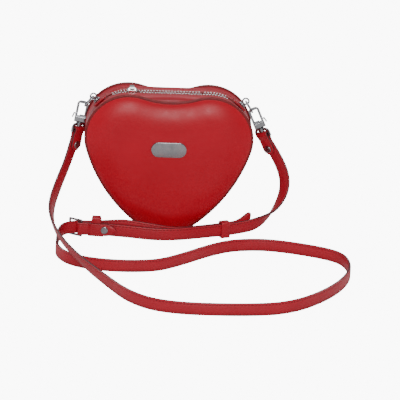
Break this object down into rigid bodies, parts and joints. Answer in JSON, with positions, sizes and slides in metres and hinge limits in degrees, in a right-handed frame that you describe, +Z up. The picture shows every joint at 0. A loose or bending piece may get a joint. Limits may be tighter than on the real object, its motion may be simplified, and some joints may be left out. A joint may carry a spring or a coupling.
{
  "type": "heart shaped purse",
  "caption": "Heart shaped leather crossbody purse with a puffed front, zip top, snap hooks on studs and a buckled two-piece strap lying on the floor.",
  "frame": {"origin": "middle of the flat under the tip, where the purse stands", "axes": "+X to the right seen from the front, -Y the front, +Z up"},
  "size_m": [0.2891, 0.2827, 0.1408],
  "materials": {
    "red_leather": "smooth semi-gloss",
    "strap_leather": "smooth with stitched edges",
    "edge_paint": "painted edge",
    "foam": "soft foam",
    "lining": "fine woven",
    "zip_tape": "woven tape",
    "zip_metal": "bright",
    "polished_metal": "polished"
  },
  "bodies": {
    "purse": {"front_panel": "red_leather", "back_panel": "red_leather", "gusset_band": "red_leather", "front_strip_ends": "red_leather", "rear_strip_ends": "red_leather", "left_tab": "red_leather", "right_tab": "red_leather", "long_strap": "strap_leather", "short_strap": "strap_leather", "fixed_keeper": "strap_leather", "front_welt": "edge_paint", "back_welt": "edge_paint", "front_foam": "foam", "back_foam": "foam", "front_lining": "lining", "back_lining": "lining", "gusset_lining": "lining", "slip_pocket": "lining", "front_tape_ends": "zip_tape", "rear_tape_ends": "zip_tape", "front_teeth_ends": "zip_metal", "rear_teeth_ends": "zip_metal", "zip_stops": "zip_metal", "badge_plate": "polished_metal", "stud_washers": "polished_metal", "left_stud": "polished_metal", "right_stud": "polished_metal", "left_eye": "polished_metal", "right_eye": "polished_metal", "strap_rivets": "polished_metal", "buckle_frame": "polished_metal"},
    "zip_slider": {"zip_slider": "zip_metal"},
    "zip_pull": {"zip_pull": "zip_metal"},
    "front_flap": {"front_strip_flap": "red_leather", "front_tape_flap": "zip_tape", "front_teeth_flap": "zip_metal"},
    "rear_flap": {"rear_strip_flap": "red_leather", "rear_tape_flap": "zip_tape", "rear_teeth_flap": "zip_metal"},
    "left_link": {"left_link": "polished_metal"},
    "right_link": {"right_link": "polished_metal"},
    "left_hook": {"left_hook": "polished_metal", "left_gate_pin": "polished_metal"},
    "right_hook": {"right_hook": "polished_metal", "right_gate_pin": "polished_metal"},
    "left_gate": {"left_gate": "polished_metal"},
    "right_gate": {"right_gate": "polished_metal"},
    "buckle_prong": {"buckle_prong": "polished_metal"},
    "sliding_keeper": {"sliding_keeper": "strap_leather"}
  },
  "joints": [
    {"name": "zip_slide", "type": "slide", "parent": "purse", "child": "zip_slider", "axis": [1, 0, 0], "range_m": [0, 0.0732]},
    {"name": "pull_swing", "type": "hinge", "parent": "zip_slider", "child": "zip_pull", "pos_m": [-0.0366, 0, 0.13965], "axis": [1, 0, 0], "range_deg": [0, 180]},
    {"name": "front_flap_fold", "type": "hinge", "parent": "purse", "child": "front_flap", "pos_m": [0, -0.018, 0.137], "axis": [1, 0, 0], "range_deg": [0, 75]},
    {"name": "rear_flap_fold", "type": "hinge", "parent": "purse", "child": "rear_flap", "pos_m": [0, 0.018, 0.137], "axis": [-1, 0, 0], "range_deg": [0, 75]},
    {"name": "left_link_swing", "type": "hinge", "parent": "purse", "child": "left_link", "pos_m": [-0.07353, 0, 0.12984], "axis": [0, 1, 0], "range_deg": [0, 4]},
    {"name": "right_link_swing", "type": "hinge", "parent": "purse", "child": "right_link", "pos_m": [0.07353, 0, 0.12984], "axis": [0, 1, 0], "range_deg": [-4, 0]},
    {"name": "left_hook_swivel", "type": "hinge", "parent": "purse", "child": "left_hook", "pos_m": [-0.08753, 0, 0.09532], "axis": [0.1564, 0, 0.9877], "range_deg": [-6, 6]},
    {"name": "right_hook_swivel", "type": "hinge", "parent": "purse", "child": "right_hook", "pos_m": [0.09261, 0, 0.09599], "axis": [-0.4067, 0, 0.9135], "range_deg": [-6, 6]},
    {"name": "left_gate_press", "type": "hinge", "parent": "left_hook", "child": "left_gate", "pos_m": [-0.0893, 0, 0.11195], "axis": [0, 1, 0], "range_deg": [0, 14], "stiffness_Nm_per_rad": 0.002},
    {"name": "right_gate_press", "type": "hinge", "parent": "right_hook", "child": "right_gate", "pos_m": [0.09001, 0, 0.11252], "axis": [0, -1, 0], "range_deg": [0, 14], "stiffness_Nm_per_rad": 0.002},
    {"name": "prong_swing", "type": "hinge", "parent": "purse", "child": "buckle_prong", "pos_m": [-0.0815, -0.04, 0.0092], "axis": [0, 0, -1], "range_deg": [0, 30]},
    {"name": "keeper_slide", "type": "slide", "parent": "purse", "child": "sliding_keeper", "axis": [0.9308, 0.3657, 0], "range_m": [-0.02, 0.003]}
  ]
}
